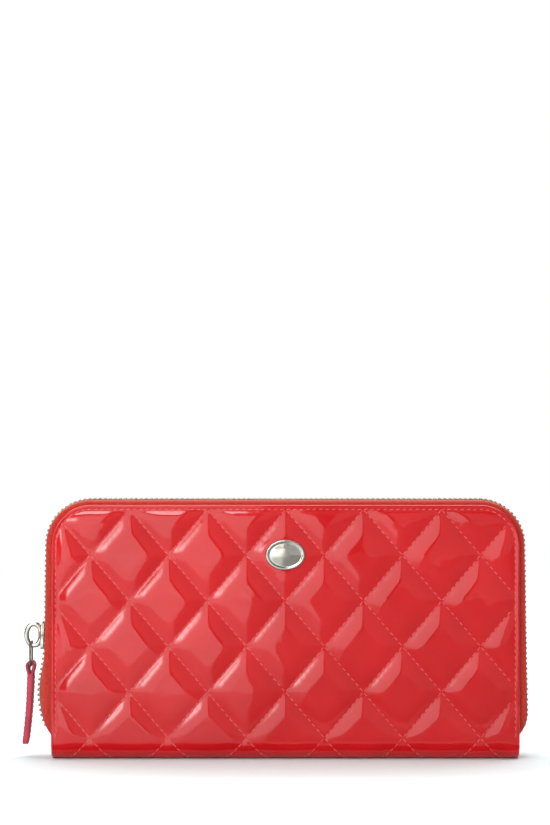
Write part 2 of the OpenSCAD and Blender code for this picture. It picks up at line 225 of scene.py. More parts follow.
def prism(outline, low, high, place):
    """An outline of (a, b) points extruded from low to high; place(a, b, h) gives each point's position."""
    points = [place(a, b, h) for h in (low, high) for a, b in outline]
    return np.array(points), capped_faces(2, len(outline))


def tube(path, radius, sides=14, closed=False):
    """A round tube along a path that keeps to one x; radius is one number or one for each point."""
    path = np.asarray(path, float)
    n = len(path)
    radius = np.broadcast_to(np.asarray(radius, float), (n,))[:, None, None]
    tangent = np.roll(path, -1, 0) - np.roll(path, 1, 0) if closed else np.gradient(path, axis=0)
    tangent /= np.linalg.norm(tangent, axis=1)[:, None]
    side = np.cross(tangent, [1, 0, 0])
    up = np.cross(side, tangent)
    a = (np.arange(sides) * 2 * PI / sides)[None, :, None]
    rings = path[:, None] + radius * (np.cos(a) * side[:, None] + np.sin(a) * up[:, None])
    faces = grid_faces(n, sides, close_rows=True, close_cols=True) if closed else capped_faces(n, sides)
    return rings.reshape(-1, 3), faces


def stitch(centre, direction, normal, length, radius):
    """One sunken stitch: a thread that rises from one hole and dives into the next."""
    direction, normal = direction / np.linalg.norm(direction), normal / np.linalg.norm(normal)
    along = np.array([-0.5, -0.42, -0.2, 0.2, 0.42, 0.5]) * length
    lift = np.array([-1.6, -0.35, 0.35, 0.35, -0.35, -1.6]) * radius
    size = np.array([0.5, 0.85, 1, 1, 0.85, 0.5])[:, None, None] * radius
    path = centre + along[:, None] * direction + lift[:, None] * normal
    a = (np.arange(6) * PI / 3)[None, :, None]
    rings = path[:, None] + size * (np.cos(a) * np.cross(direction, normal) + np.sin(a) * normal)
    return rings.reshape(-1, 3), capped_faces(6, 6)


def mirrored(half):
    """An outline from one half of it and its mirror image in b."""
    return half + [(a, -b) for a, b in half[::-1]]


def rounded_box(half_a, half_b, r, n):
    """Points round a rectangle with round corners, n to each corner."""
    points = []
    for ca, cb, start in ((1, 1, 0), (-1, 1, 90), (-1, -1, 180), (1, -1, 270)):
        for v in np.radians(np.linspace(start, start + 90, n)):
            points.append((ca * (half_a - r) + r * math.cos(v), cb * (half_b - r) + r * math.sin(v)))
    return points


def oval_point(a, half_u, half_w, power=1.0):
    """A point at angle a on an oval, squarer for a smaller power."""
    c, s = math.cos(a), math.sin(a)
    return np.array([half_u * math.copysign(abs(c) ** power, c), half_w * math.copysign(abs(s) ** power, s)])


def banded_loop(name, steps, profile, inner, outer, place):
    """A closed loop between two ovals; profile is (share of the way out, place across) round its section."""
    points = []
    for a in np.linspace(0, 2 * PI, steps, endpoint=False):
        near, far = inner(a), outer(a)
        points += [place(*(near + (far - near) * share), across) for share, across in profile]
    faces = grid_faces(steps, len(profile), close_rows=True, close_cols=True)
    return finish_mesh(mesh_object(name, points, faces, SILVER), subdivide=1)


def smooth_step(x):
    x = np.clip(x, 0, 1)
    return x * x * (3 - 2 * x)


def groove(distance, depth, width):
    return depth * np.exp(-((distance / width) ** 2))


# ---------------------------------------------------------------- materials
class Paint:
    """A procedural material whose textures read the piece's own coordinates, in metres."""

    def __init__(self, name, rough=0.5, **sockets):
        self.material = bpy.data.materials.new(name)
        self.material.use_nodes = True
        self.nodes = self.material.node_tree.nodes
        self.links = self.material.node_tree.links
        self.bsdf = next(n for n in self.nodes if n.type == "BSDF_PRINCIPLED")
        self.bsdf.inputs["Roughness"].default_value = rough
        for key, value in sockets.items():
            self.bsdf.inputs[key.replace("_", " ")].default_value = value
        self.place = self.nodes.new("ShaderNodeTexCoord").outputs["Object"]
        self.normal = None

    def texture(self, kind, stretch=None, **sockets):
        place = self.place
        if stretch:
            mapping = self.nodes.new("ShaderNodeMapping")
            mapping.inputs["Scale"].default_value = stretch
            self.links.new(place, mapping.inputs["Vector"])
            place = mapping.outputs["Vector"]
        texture = self.nodes.new(kind)
        for key, value in sockets.items():
            texture.inputs[key].default_value = value
        self.links.new(place, texture.inputs["Vector"])
        return texture

    def noise(self, scale, detail, stretch=None):
        return self.texture("ShaderNodeTexNoise", stretch, Scale=scale, Detail=detail).outputs["Fac"]

    def cells(self, scale):
        texture = self.texture("ShaderNodeTexVoronoi", Scale=scale)
        texture.feature = "DISTANCE_TO_EDGE"
        return texture.outputs["Distance"]

    def waves(self, scale):
        texture = self.texture("ShaderNodeTexWave", Scale=scale)
        texture.bands_direction = "DIAGONAL"
        return texture.outputs["Fac"]

    def colour(self, factor, dark, light, low=0.3, high=0.7):
        ramp = self.nodes.new("ShaderNodeValToRGB")
        first, last = ramp.color_ramp.elements
        first.position, first.color = low, (*dark, 1)
        last.position, last.color = high, (*light, 1)
        self.links.new(factor, ramp.inputs["Fac"])
        self.links.new(ramp.outputs["Color"], self.bsdf.inputs["Base Color"])

    def roughness(self, factor, low, high):
        spread_node = self.nodes.new("ShaderNodeMapRange")
        spread_node.inputs["To Min"].default_value = low
        spread_node.inputs["To Max"].default_value = high
        self.links.new(factor, spread_node.inputs["Value"])
        self.links.new(spread_node.outputs["Result"], self.bsdf.inputs["Roughness"])

    def bump(self, height, strength, distance, coat=False):
        """Adds relief; distance is in millimetres."""
        bump = self.nodes.new("ShaderNodeBump")
        bump.inputs["Strength"].default_value = strength
        bump.inputs["Distance"].default_value = distance * MM
        self.links.new(height, bump.inputs["Height"])
        if self.normal:
            self.links.new(self.normal, bump.inputs["Normal"])
        self.normal = bump.outputs["Normal"]
        for key in ("Normal", "Coat Normal") if coat else ("Normal",):
            self.links.new(self.normal, self.bsdf.inputs[key])


def patent_paint(name, dark, light):
    """Dyed leather under a thick clear coat."""
    paint = Paint(name, 0.3, Coat_Weight=1.0, Coat_Roughness=0.03, Coat_IOR=1.42, Specular_IOR_Level=0.12)
    paint.colour(paint.noise(45, 3), dark, light)
    paint.bump(paint.noise(70, 2), 0.35, 0.35, coat=True)
    paint.bump(paint.noise(420, 3), 0.08, 0.05, coat=True)
    return paint.material


def leather_paint(name, dark, light, rough=0.42, grain=1100):
    paint = Paint(name, rough, Specular_IOR_Level=0.4, Sheen_Weight=0.1, Sheen_Roughness=0.4)
    paint.colour(paint.noise(160, 4), dark, light)
    paint.roughness(paint.noise(700, 3), rough - 0.08, rough + 0.1)
    paint.bump(paint.cells(grain), 0.35, 0.06)
    paint.bump(paint.noise(2600, 3), 0.2, 0.03)
    return paint.material


def tape_paint(name, dark, light):
    """Woven polyester with slanting ribs."""
    paint = Paint(name, 0.85, Sheen_Weight=0.15, Sheen_Roughness=0.5, Specular_IOR_Level=0.25)
    paint.colour(paint.noise(900, 3), dark, light)
    paint.bump(paint.waves(700), 0.5, 0.08)
    paint.bump(paint.noise(3800, 2), 0.3, 0.04)
    return paint.material


def metal_paint(name, dark, light, rough):
    paint = Paint(name, rough, Metallic=1.0)
    paint.colour(paint.noise(300, 3), dark, light)
    paint.roughness(paint.noise(1800, 4), rough - 0.05, rough + 0.08)
    paint.bump(paint.noise(900, 2), 0.05, 0.03)
    return paint.material


def thread_paint(name, dark, light):
    paint = Paint(name, 0.5, Sheen_Weight=0.4, Sheen_Roughness=0.3)
    paint.colour(paint.noise(1500, 2), dark, light)
    paint.bump(paint.waves(3000), 0.4, 0.04)
    return paint.material


def foam_paint(name, dark, light):
    paint = Paint(name, 0.95)
    paint.colour(paint.noise(900, 4), dark, light)
    paint.bump(paint.cells(2200), 0.6, 0.15)
    return paint.material


def board_paint(name, dark, light):
    """Bonded board with fibres that lie along it."""
    paint = Paint(name, 0.8)
    paint.colour(paint.noise(500, 5, stretch=(1, 1, 3)), dark, light, low=0.35, high=0.65)
    paint.bump(paint.noise(2400, 4), 0.4, 0.08)
    return paint.material


def plain_paint(name, dark, light):
    """The matt finish of the stage."""
    paint = Paint(name, 0.9, Specular_IOR_Level=0.1)
    paint.colour(paint.noise(8, 2), dark, light)
    return paint.material


PATENT = patent_paint("patent_leather", (0.48, 0.002, 0.004), (0.56, 0.004, 0.007))
LINING = leather_paint("lining_leather", (0.33, 0.014, 0.018), (0.42, 0.022, 0.026))
POCKET = leather_paint("pocket_leather", (0.40, 0.016, 0.020), (0.50, 0.026, 0.030), grain=900)
PULL = leather_paint("pull_leather", (0.42, 0.020, 0.050), (0.54, 0.038, 0.075), rough=0.4)
PULL_EDGE = leather_paint("painted_edge", (0.30, 0.010, 0.030), (0.38, 0.018, 0.040), rough=0.3)
TAPE = tape_paint("zip_tape", (0.40, 0.020, 0.012), (0.50, 0.038, 0.024))
THREAD = thread_paint("thread", (0.66, 0.055, 0.055), (0.80, 0.110, 0.105))
TEETH = metal_paint("zip_metal", (0.26, 0.19, 0.12), (0.42, 0.33, 0.22), rough=0.3)
SILVER = metal_paint("silver_metal", (0.40, 0.385, 0.34), (0.48, 0.46, 0.41), rough=0.15)
# The ring's own darker nickel; the slider's lug wears it too, as painted shade.
NICKEL_AND_LUG_SHADE = metal_paint("nickel_wire", (0.15, 0.115, 0.09), (0.20, 0.16, 0.125), rough=0.22)
FOAM = foam_paint("foam", (0.62, 0.58, 0.48), (0.75, 0.72, 0.62))
BOARD = board_paint("bonded_board", (0.30, 0.21, 0.13), (0.45, 0.34, 0.22))


# ---------------------------------------------------------------- the covers
def skin(x, t, depth, side):
    """Position of points of a cover's sheet."""
    a = np.clip((t - FLAT) / FOLD_R, 0, PI / 2)
    r = FOLD_R - depth
    y = np.minimum(t, FLAT) + r * np.sin(a)
    z = FOLD_R - r * np.cos(a) + np.maximum(t - FLAT - BEND, 0)
    return np.stack([x + 0 * y, side * y, z], axis=-1)


def round_outline(u, v, half_w, low, top, r):
    """Spreads u from -1 to 1 and v from 0 to 1 over an upright panel with two round top corners."""
    x, t = abs(u) * half_w, low + v * (top - low)
    cx = np.clip((x - (half_w - r)) / r, 0, 1)
    ct = np.clip((t - (top - r)) / r, 0, 1)
    x = np.minimum(x, half_w - r) + r * cx * np.sqrt(1 - ct * ct / 2)
    t = np.minimum(t, top - r) + r * ct * np.sqrt(1 - cx * cx / 2)
    return np.sign(u) * x, t


def edge_distance(x, t, half_w, top, r):
    """Distance from a point to the sides and top of such a panel."""
    dx, dt = half_w - abs(x), top - t
    corner = r - np.hypot(r - dx, r - dt)
    return np.where((dx < r) & (dt < r), corner, np.minimum(dx, dt))


def scatter(i, j, k):
    """An even-handed number from -1 to 1 for cell (i, j)."""
    v = np.sin(i * 127.1 + j * 311.7 + k * 74.7) * 43758.5453
    return 2 * (v - np.floor(v)) - 1


def swell(distance, reach):
    """Rise of a pad from 0 at a seam to 1 at its reach, steep at the seam and level at the top."""
    return 1 - (1 - np.clip(distance / reach, 0, 1)) ** 2.3


def quilt_depth(x, t, side):
    """Depth of the quilted face: puffed diamonds, sunken seams and a narrow flat border."""
    s1, s2 = (x / QUILT_A + t / QUILT_B) / 2, (x / QUILT_A - t / QUILT_B) / 2
    d1, d2 = abs(s1 - np.round(s1)) * QUILT_WIDTH, abs(s2 - np.round(s2)) * QUILT_WIDTH
    edge = edge_distance(x, t, HALF_W, T_TOP, CORNER_R)
    inside = np.maximum(edge - EDGE_STITCH, 0)
    i, j = np.floor(s1), np.floor(s2)
    fullness = 1 + UNEVEN * scatter(i, j, 1 + side)
    fullness = fullness + UNEVEN * scatter(i, j, 5 + side) * ((s1 - i) - 0.5 + (s2 - j) - 0.5)
    fullness = fullness + UNEVEN * scatter(i, j, 9 + side) * ((s1 - i) - (s2 - j))
    puff = swell(d1, PUFF_REACH) * swell(d2, PUFF_REACH) * swell(inside, PUFF_REACH * 0.8)
    crown = swell(d1, QUILT_WIDTH / 2) * swell(d2, QUILT_WIDTH / 2)
    relief = (SEAM_DEPTH - CREST) * (0.9 * puff + 0.1 * crown * puff) * fullness
    for d, s in ((d1, s2), (d2, s1)):
        wave = np.cos(2 * PI * SIDE_STITCHES * s) * groove(d - PUCKER_AT, PUCKER, PUCKER_REACH)
        relief = relief + wave * puff
    rise = (edge - BORDER_FLAT) / (EDGE_STITCH - BORDER_FLAT)
    border = BORDER_DEPTH + 0.1 * np.clip(-rise, 0, 1) ** 2 + (SEAM_DEPTH - BORDER_DEPTH) * smooth_step(rise)
    depth = np.where(edge < EDGE_STITCH, border, SEAM_DEPTH - relief)
    pressed = 0.2 + 0.8 * smooth_step((t - 8) / 26)
    depth = np.maximum(depth * pressed, 0.02 + (CREST - 0.4) * smooth_step((t - FLAT) / BEND))
    if side == FRONT:
        e = np.hypot((x - EMBLEM_X) / (EMBLEM_W / 2), (t - EMBLEM_T) / (EMBLEM_H / 2))
        depth = depth * smooth_step((e - 1.02) / 0.35)
    return depth


def cross_fold(piece):
    """Bakes a piece's transform into its mesh."""
    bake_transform(piece)


def turned_edge(x, t, depth, side):
    """Rings of points round a cover's rim: the rolled edge and the hem behind it."""
    out_x = np.sign(x) * np.where(t > T_TOP - CORNER_R, np.maximum(abs(x) - (HALF_W - CORNER_R), 0), 1)
    out_t = np.maximum(t - (T_TOP - CORNER_R), 0)
    length = np.hypot(out_x, out_t)
    inner = BACK_OF_COVER - 0.06
    steps = [
        (EDGE_ROUND * math.sin(a), depth + EDGE_ROUND * (1 - math.cos(a)))
        for a in np.radians([22, 45, 67, 90])
    ]
    steps += [(EDGE_ROUND, inner - 0.3), (EDGE_ROUND - 0.3, inner), (-2.6, inner), (-2.6, inner - 0.6)]
    return [skin(x + out_x / length * out, t + out_t / length * out, d, side) for out, d in steps]


def cover_leather(side):
    """The quilted sheet of one cover, from the middle of the spine to its turned-in edge."""
    name = SIDES[side]
    u, v = np.meshgrid(np.linspace(-1, 1, GRID_COLS), np.linspace(0, 1, GRID_ROWS))
    x, t = round_outline(u, v, HALF_W - EDGE_ROUND, 0, T_TOP - EDGE_ROUND, CORNER_R - EDGE_ROUND)
    depth = quilt_depth(x, t, side)
    face = skin(x, t, depth, side).reshape(-1, 3)
    under = skin(x, t, np.minimum(depth + 0.85, 1.95), side).reshape(-1, 3)
    rim = [i * GRID_COLS for i in range(GRID_ROWS)]
    rim += [(GRID_ROWS - 1) * GRID_COLS + j for j in range(1, GRID_COLS)]
    rim += [i * GRID_COLS + GRID_COLS - 1 for i in range(GRID_ROWS - 2, -1, -1)]
    rings = turned_edge(x.reshape(-1)[rim], t.reshape(-1)[rim], depth.reshape(-1)[rim], side)
    n, m = GRID_ROWS * GRID_COLS, len(rim)
    start = n + len(rings) * m
    loops = [rim]
    loops += [list(range(n + k * m, n + k * m + m)) for k in range(len(rings))]
    loops.append([start + i for i in rim])
    faces = grid_faces(GRID_ROWS, GRID_COLS)
    for a, b in zip(loops, loops[1:]):
        faces += [(a[i], b[i], b[i + 1], a[i + 1]) for i in range(m - 1)]
    faces += grid_faces(GRID_ROWS, GRID_COLS, start=start, flip=True)
    points = np.concatenate([face, *rings, under])
    piece = outwards(mesh_object(f"{name}_quilted_leather", points, faces, PATENT))
    cross_fold(piece)
    wear(piece, None, "patent_leather", f"{name}_cover_leather", f"{name}_fold_leather")


def sheet_stitches(name, places, side, lift, length, slant):
    """Stitches on a cover's sheet; places are (x, t, direction in x and t)."""
    parts = []
    for x, t, angle in places:
        dx, dt = 0.3 * math.cos(angle + slant), 0.3 * math.sin(angle + slant)
        depth = quilt_depth(x, t, side) - lift
        first, last = skin(x - dx, t - dt, depth, side), skin(x + dx, t + dt, depth, side)
        centre = (first + last) / 2
        parts.append(stitch(centre, last - first, centre - skin(x, t, depth + 0.5, side), length, 0.2))
    piece = join_parts(name, parts, THREAD)
    cross_fold(piece)
    wear(piece, None, "zip_tape")


def quilt_stitch_places(side):
    """Stitches along both families of quilting seams, clear of the edge and of the emblem."""
    places = []
    slope = math.atan2(QUILT_B, QUILT_A)
    for family in (1, -1):
        for m in range(-8, 9):
            for k in range(SIDE_STITCHES * 14):
                t = (k + 0.5) / SIDE_STITCHES * QUILT_B
                x = 2 * m * QUILT_A + family * t / QUILT_B * QUILT_A
                on_cover = t < T_TOP and abs(x) < HALF_W
                if on_cover and edge_distance(x, t, HALF_W, T_TOP, CORNER_R) > EDGE_STITCH + 0.9:
                    clear = math.hypot((x - EMBLEM_X) / EMBLEM_W, (t - EMBLEM_T) / EMBLEM_H) > 0.55
                    if clear or side == BACK:
                        places.append((x, t, family * slope))
    return places


def edge_line(half_w, low, top, r, step):
    """Places at an even step along a line with round top corners, with the line's direction."""
    span, turn = half_w - r, r * PI / 2
    total = 2 * (span + turn + top - r - low)
    count = int(total / step)
    places = []
    for s in ((k + 0.5) * total / count - total / 2 for k in range(count)):
        sign = math.copysign(1, s)
        a = min(max(abs(s) - span, 0), turn) / r
        x = min(abs(s), span) + r * math.sin(a)
        t = top - r + r * math.cos(a) - max(abs(s) - span - turn, 0)
        places.append((sign * x, t, -sign * a))
    return places


def cover_stitches(side):
    name = SIDES[side]
    sheet_stitches(f"{name}_quilting_thread", quilt_stitch_places(side), side, 0.03, 2.05, 0.1)
    low = FLAT + BEND + 2.2
    edge = edge_line(HALF_W - EDGE_STITCH, low, T_TOP - EDGE_STITCH, CORNER_R - EDGE_STITCH, 2.6)
    sheet_stitches(f"{name}_edge_thread", edge, side, 0.06, 1.9, 0.16)


def quilted_foam(side):
    """The foam under the quilting, pressed thin along the seams and cut out behind the emblem."""
    low_t = FLAT + BEND + LEAF_Z - FOLD_R
    u, v = np.meshgrid(np.linspace(-1, 1, 131), np.linspace(0, 1, 71))
    x, t = round_outline(u, v, HALF_W - 3, low_t, T_TOP - 3, CORNER_R - 3)
    depth = np.minimum(quilt_depth(x, t, side) + 0.95, 1.93)
    if side == FRONT:
        depth = np.maximum(depth, 1.65 * (np.hypot(x, t - EMBLEM_T) < 7.5))
    top, under = skin(x, t, depth, side), skin(x, t, 0 * depth + 1.99, side)
    piece = closed_sheet(f"{SIDES[side]}_quilted_foam", top, under, FOAM)
    wear(piece, f"{SIDES[side]}_leaf", "foam", f"{SIDES[side]}_foam_pad")


for side in (FRONT, BACK):
    cover_leather(side)
    cover_stitches(side)
    quilted_foam(side)


# ---------------------------------------------------------------- the main zip
def zip_line(s):
    """Position and outward normal of the teeth's outer line; s runs from the middle of the top."""
    d = abs(np.asarray(s, float))
    angle = PI / 2 - np.clip((d - ZIP_C[0]) / ZIP_R, 0, PI / 2 - ZIP_LEAN)
    down = np.clip(d - ZIP_C[0] - ZIP_TURN, 0, ZIP_STRAIGHT)
    end = np.maximum(d - ZIP_C[0] - ZIP_TURN - ZIP_STRAIGHT, 0) / ZIP_END_R
    last = ZIP_LEAN - end
    x = np.minimum(d, ZIP_C[0]) + ZIP_R * np.cos(angle) + down * math.sin(ZIP_LEAN)
    z = ZIP_C[1] + ZIP_R * np.sin(angle) - down * math.cos(ZIP_LEAN)
    x += ZIP_END_R * (np.cos(last) - math.cos(ZIP_LEAN))
    z += ZIP_END_R * (np.sin(last) - math.sin(ZIP_LEAN))
    angle = np.where(end > 0, last, angle)
    sign = np.where(np.asarray(s) < 0, -1.0, 1.0)
    return np.stack([sign * x, 0 * x, z], -1), np.stack([sign * np.cos(angle), 0 * x, np.sin(angle)], -1)


def mouth(point):
    """How far each row stands back from the middle, where the zip is open below the slider."""
    return np.where(point[..., 0] < 0, np.interp(point[..., 2], MOUTH_Z, MOUTH_Y), 0)


def bulge(point):
    """How far the free tapes swell outwards below the slider."""
    rise = np.clip((point[..., 2] - BULGE_LOW) / BULGE_SPAN, 0, 1)
    return np.where(point[..., 0] < 0, BULGE * np.sin(PI * rise) ** 2, 0)


# Section of a tape's outer face: distance from the middle of the wallet, and depth in from the teeth's line.
TAPE_OUTER = np.array([
    (9.17, 8.1), (9.17, 5.0), (9.17, 2.6), (9.12, 1.8), (8.9, 1.3), (8.45, 1.0), (7.8, 0.85), (7.0, 0.76),
    (6.2, 0.72), (5.3, 0.74), (4.6, 0.82), (4.1, 0.88), (3.75, 0.76), (3.4, 0.68), (3.0, 0.7), (2.72, 0.85),
])
TAPE_T = 0.42
TAPE_STEPS = 373


def inner_face(outer, thick, power, turn=1):
    """The inner face of a tape's section, which turns from across the wallet to along it."""
    share = np.linspace(0, 1, len(outer))
    return outer + thick * np.stack([-(share[::-1] ** power), turn * share ** power], -1)


def zip_tape(side):
    name = SIDES[side]
    point, normal = zip_line(np.linspace(-ZIP_LENGTH, ZIP_LENGTH, TAPE_STEPS))
    rib = 0.035 * np.cos(np.arange(TAPE_STEPS) * PI)
    faces = []
    for profile, sign in ((TAPE_OUTER, 1), (inner_face(TAPE_OUTER, TAPE_T, 0.35), -1)):
        share = np.clip((9.2 - profile[:, 0]) / 6.6, 0, 1)
        free = share * smooth_step(share * 3)
        inset = profile[None, :, 1] - bulge(point)[:, None] * free + sign * rib[:, None] * (share > 0.05)
        at = point[:, None] - inset[..., None] * normal[:, None]
        at[..., 1] = side * (profile[None, :, 0] + mouth(point)[:, None] * share)
        faces.append(at)
    piece = closed_sheet(f"{name}_woven_tape", *faces, TAPE)
    wear(piece, f"{name}_leaf", "zip_tape", f"{name}_zip_tape")


# Half of a tooth seen from outside: distance across from its root, and half its width; then its levels.
TOOTH_HALF = [(0, 0.43), (1.5, 0.43), (2.05, 0.30), (2.6, 0.33), (3.0, 0.43), (3.6, 0.38), (3.98, 0.18)]
TOOTH_LEVELS = [(0.0, 0.78), (0.22, 1.0), (1.48, 1.0), (1.7, 0.78)]


def tooth(origin, along, across, inwards, size=1.0, height=1.0):
    """One zip tooth: legs, a neck and a rounded head."""
    plan = np.array(mirrored(TOOTH_HALF)) * size
    middle = plan.mean(0)
    rings = []
    for depth, scale in TOOTH_LEVELS:
        level = middle + (plan - middle) * scale
        rings.append(origin + level[:, 1:] * along + level[:, :1] * across + depth * height * inwards)
    return np.concatenate(rings), capped_faces(len(rings), len(plan))


def zip_teeth(side):
    name = SIDES[side]
    shift, sunk, last = (0, 0, 87) if side == FRONT else (0.5, 0.3, 86)
    parts = []
    for k in range(-87, last + 1):
        point, normal = zip_line((k + shift) * TOOTH_PITCH)
        origin = point + normal * (bulge(point) - sunk)
        origin[1] = side * (TOOTH_ROOT + 0.7 + mouth(point))
        parts.append(tooth(origin, np.cross(normal, [0, 1, 0]), np.array([0, -side, 0]), -normal))
    piece = outwards(join_parts(f"{name}_shaped_teeth", parts, TEETH))
    wear(piece, f"{name}_leaf", "zip_metal", f"{name}_zip_teeth")


STOP_PLAN = [
    (-0.75, 0.25), (-0.5, 0), (0.5, 0), (0.75, 0.25), (0.75, 2.7), (0.5, 2.95), (-0.5, 2.95), (-0.75, 2.7),
]


def zip_stops(side):
    """A crimped stop at each end of a row."""
    name = SIDES[side]
    low, high = node_box(f"{name}_zip_stops")
    root = low[1] if side == BACK else -high[1]
    parts = []
    for s in (-ZIP_LENGTH + 0.9, ZIP_LENGTH - 0.9):
        point, normal = zip_line(s)
        along = np.cross(normal, [0, 1, 0])
        across = np.array([0, side, 0])
        parts.append(prism(
            STOP_PLAN, 0.1, 1.6,
            lambda a, b, h: point + a * along - h * normal + (root + b) * across,
        ))
    piece = finish_mesh(join_parts(f"{name}_crimped_stops", parts, TEETH), bevel=0.16, segments=2)
    wear(piece, f"{name}_leaf", "zip_metal", f"{name}_zip_stops")


for side in (FRONT, BACK):
    zip_tape(side)
    zip_teeth(side)
    zip_stops(side)


# ---------------------------------------------------------------- slider, ring and pull
SLIDER_Z = 49.6
SLIDER_X = ZIP_C[0] + ZIP_R * math.cos(ZIP_LEAN)
SLIDER_X += (ZIP_C[1] + ZIP_R * math.sin(ZIP_LEAN) - SLIDER_Z) * math.tan(ZIP_LEAN)
PLATE_T = 0.9
PLATE_GAP = 0.25
PLATE_TOP = PLATE_GAP + PLATE_T
UNDER_U = -TOOTH_H - PLATE_GAP
RAIL = [(-4.9, 5.05), (-2.9, 5.05), (0.2, 4.05), (2.6, 3.4), (5.0, 3.35)]
RAIL_T = 0.75
PLATE_HALF = [(-5.5, 1.6), (-5.45, 4.2), (-5.1, 4.8), *RAIL[:-1], (4.9, 3.4), (5.4, 3.0), (5.5, 2.2)]
POST_PLAN = [(-5.3, -0.9), (-5.3, 0.9), (-3.6, 0.7), (-2.4, 0), (-3.6, -0.7)]
EYE_U, EYE_A, EYE_B = 4.25, 1.95, 3.45
CROWN_U, CROWN_A, CROWN_B = 4.55, 3.65, 5.25


def at_slider(w, v, u):
    """w is up along the zip, v across it and u outwards from the teeth."""
    x = SLIDER_X + u * math.cos(ZIP_LEAN) - w * math.sin(ZIP_LEAN)
    return np.array([-x, v, SLIDER_Z + u * math.sin(ZIP_LEAN) + w * math.cos(ZIP_LEAN)])


def slider_body():
    """Two plates with rails along their sides, joined by a post."""
    outline = mirrored(PLATE_HALF)
    heights = ((PLATE_GAP, PLATE_TOP), (UNDER_U - PLATE_T, UNDER_U))
    parts = [prism(outline, low, high, at_slider) for low, high in heights]
    for across in (-1, 1):
        rail = [(w, across * v) for w, v in RAIL] + [(w, across * (v - RAIL_T)) for w, v in RAIL[::-1]]
        parts.append(prism(rail, -0.3, PLATE_GAP + 0.3, at_slider))
        parts.append(prism(rail, UNDER_U - 0.3, -1.3, at_slider))
    parts.append(prism(POST_PLAN, UNDER_U - 0.3, PLATE_GAP + 0.3, at_slider))
    piece = finish_mesh(join_parts("slider_plates", parts, SILVER), bevel=0.22)
    wear(piece, "slider", "silver_metal", "slider_body")


def slider_crown():
    """The loop that the ring hangs in, a rounded band round an oval eye, and the lug under it in the ring's
    darker metal, which paints the shade of the recess at the crown's base.
    """
    profile = mirrored([(0.0, -0.9), (0.06, -1.4), (0.3, -1.68), (0.7, -1.68), (0.94, -1.4), (1.0, -0.9)])
    piece = banded_loop(
        "slider_loop", 72, profile,
        lambda a: np.array([EYE_U, 0]) + oval_point(a, EYE_A, EYE_B),
        lambda a: np.array([CROWN_U, 0]) + oval_point(a, CROWN_A, CROWN_B, 1.0 if math.cos(a) > 0 else 0.625),
        lambda u, w, v: at_slider(w, v, u),
    )
    wear(piece, "slider", "silver_metal", "slider_crown")
    # The lug's darker metal is painted shade: the dark band of the recess where the crown meets the slider.
    foot = [(-1.5, -1.85), (-1.5, 1.85), (1.5, 1.85), (1.5, -1.85)]
    lug = join_parts("slider_lug", [prism(foot, PLATE_TOP - 0.1, 2.3, at_slider)], NICKEL_AND_LUG_SHADE)
    wear(finish_mesh(lug, bevel=0.3), "slider", "silver_metal")


RING_X = (ring_low[0] + ring_high[0]) / 2
WIRE_R = (ring_high[0] - ring_low[0]) / 2
PULL_Z = ring_low[2] + WIRE_R


def pull_ring():
    """A ring of bent wire with a weld in its lower bar."""
    half_y, half_z = ring_high[1] - WIRE_R, (ring_high[2] - ring_low[2]) / 2 - WIRE_R
    mid_z = (ring_high[2] + ring_low[2]) / 2
    path = [(RING_X, y, mid_z + z) for y, z in rounded_box(half_y, half_z, 1.0, 8)]
    weld = [(RING_X, y, mid_z - half_z) for y in np.linspace(-4.35, -3.75, 7)]
    beads = WIRE_R * np.array([0.9, 1.07, 1.12, 1.08, 1.12, 1.07, 0.9])
    piece = outwards(join_parts("wire_ring", [tube(path, WIRE_R, closed=True), tube(weld, beads)], NICKEL_AND_LUG_SHADE))
    wear(piece, "ring", "silver_metal", "pull_ring")


TAB_HALF = tab_high[1]
TAB_LEN = PULL_Z - tab_low[2]
TAB_SWEEP = 2.2
TAB_THINNING = 0.12
TIP_R = 1.3
PLY_T = 1.22
PLY_GAP = 0.66
HEAD_R = 1.42


def tab_line(f):
    """Middle of the pull, from the ring's bar at f = 0 to its tip at f = 1."""
    return RING_X - TAB_SWEEP * f * f, PULL_Z - TAB_LEN * f


def tab_offset(f):
    return PLY_GAP - 0.08 * f + (HEAD_R - PLY_GAP) * (1 - smooth_step(np.asarray(f) / 0.12))


def tab_path():
    """Line of the strap, up one side, over the ring's bar and down the other, and its outward direction."""
    rows = [(*tab_line(f), f) for f in np.linspace(1, 0, 34)[:-1]]
    path = [(x + tab_offset(f), z, f) for x, z, f in rows]
    for a in np.linspace(0, PI, 17):
        path.append((RING_X + HEAD_R * math.cos(a), PULL_Z + HEAD_R * math.sin(a), 0))
    path += [(x - tab_offset(f), z, f) for x, z, f in rows[::-1]]
    path = np.array(path)
    heading = np.gradient(path[:, :2], axis=0)
    heading /= np.linalg.norm(heading, axis=1)[:, None]
    return path, np.stack([heading[:, 1], -heading[:, 0]], -1)


def pull_strap():
    """One strap folded over the ring's bar, with rounded tips and painted edges."""
    path, out = tab_path()
    section = rounded_box(TAB_HALF, PLY_T / 2, 0.28, 4)
    points = []
    for (x, z, f), (nx, nz) in zip(path, out):
        to_tip = max(TIP_R - (1 - f) * TAB_LEN, 0)
        wide = (TAB_HALF - TIP_R + math.sqrt(max(TIP_R * TIP_R - to_tip ** 2, 0))) / TAB_HALF
        thin = 1 - TAB_THINNING * f
        points += [(x + nx * t * thin, y * wide, z + nz * t * thin) for y, t in section]
    faces = capped_faces(len(path), len(section))
    piece = outwards(mesh_object("folded_leather_pull", points, faces, PULL))
    piece.data.materials.append(PULL_EDGE)
    for face in piece.data.polygons:
        face.material_index = int(abs(face.normal.y) > 0.75)
    wear(piece, "pull", "pull_leather", "pull_tab")


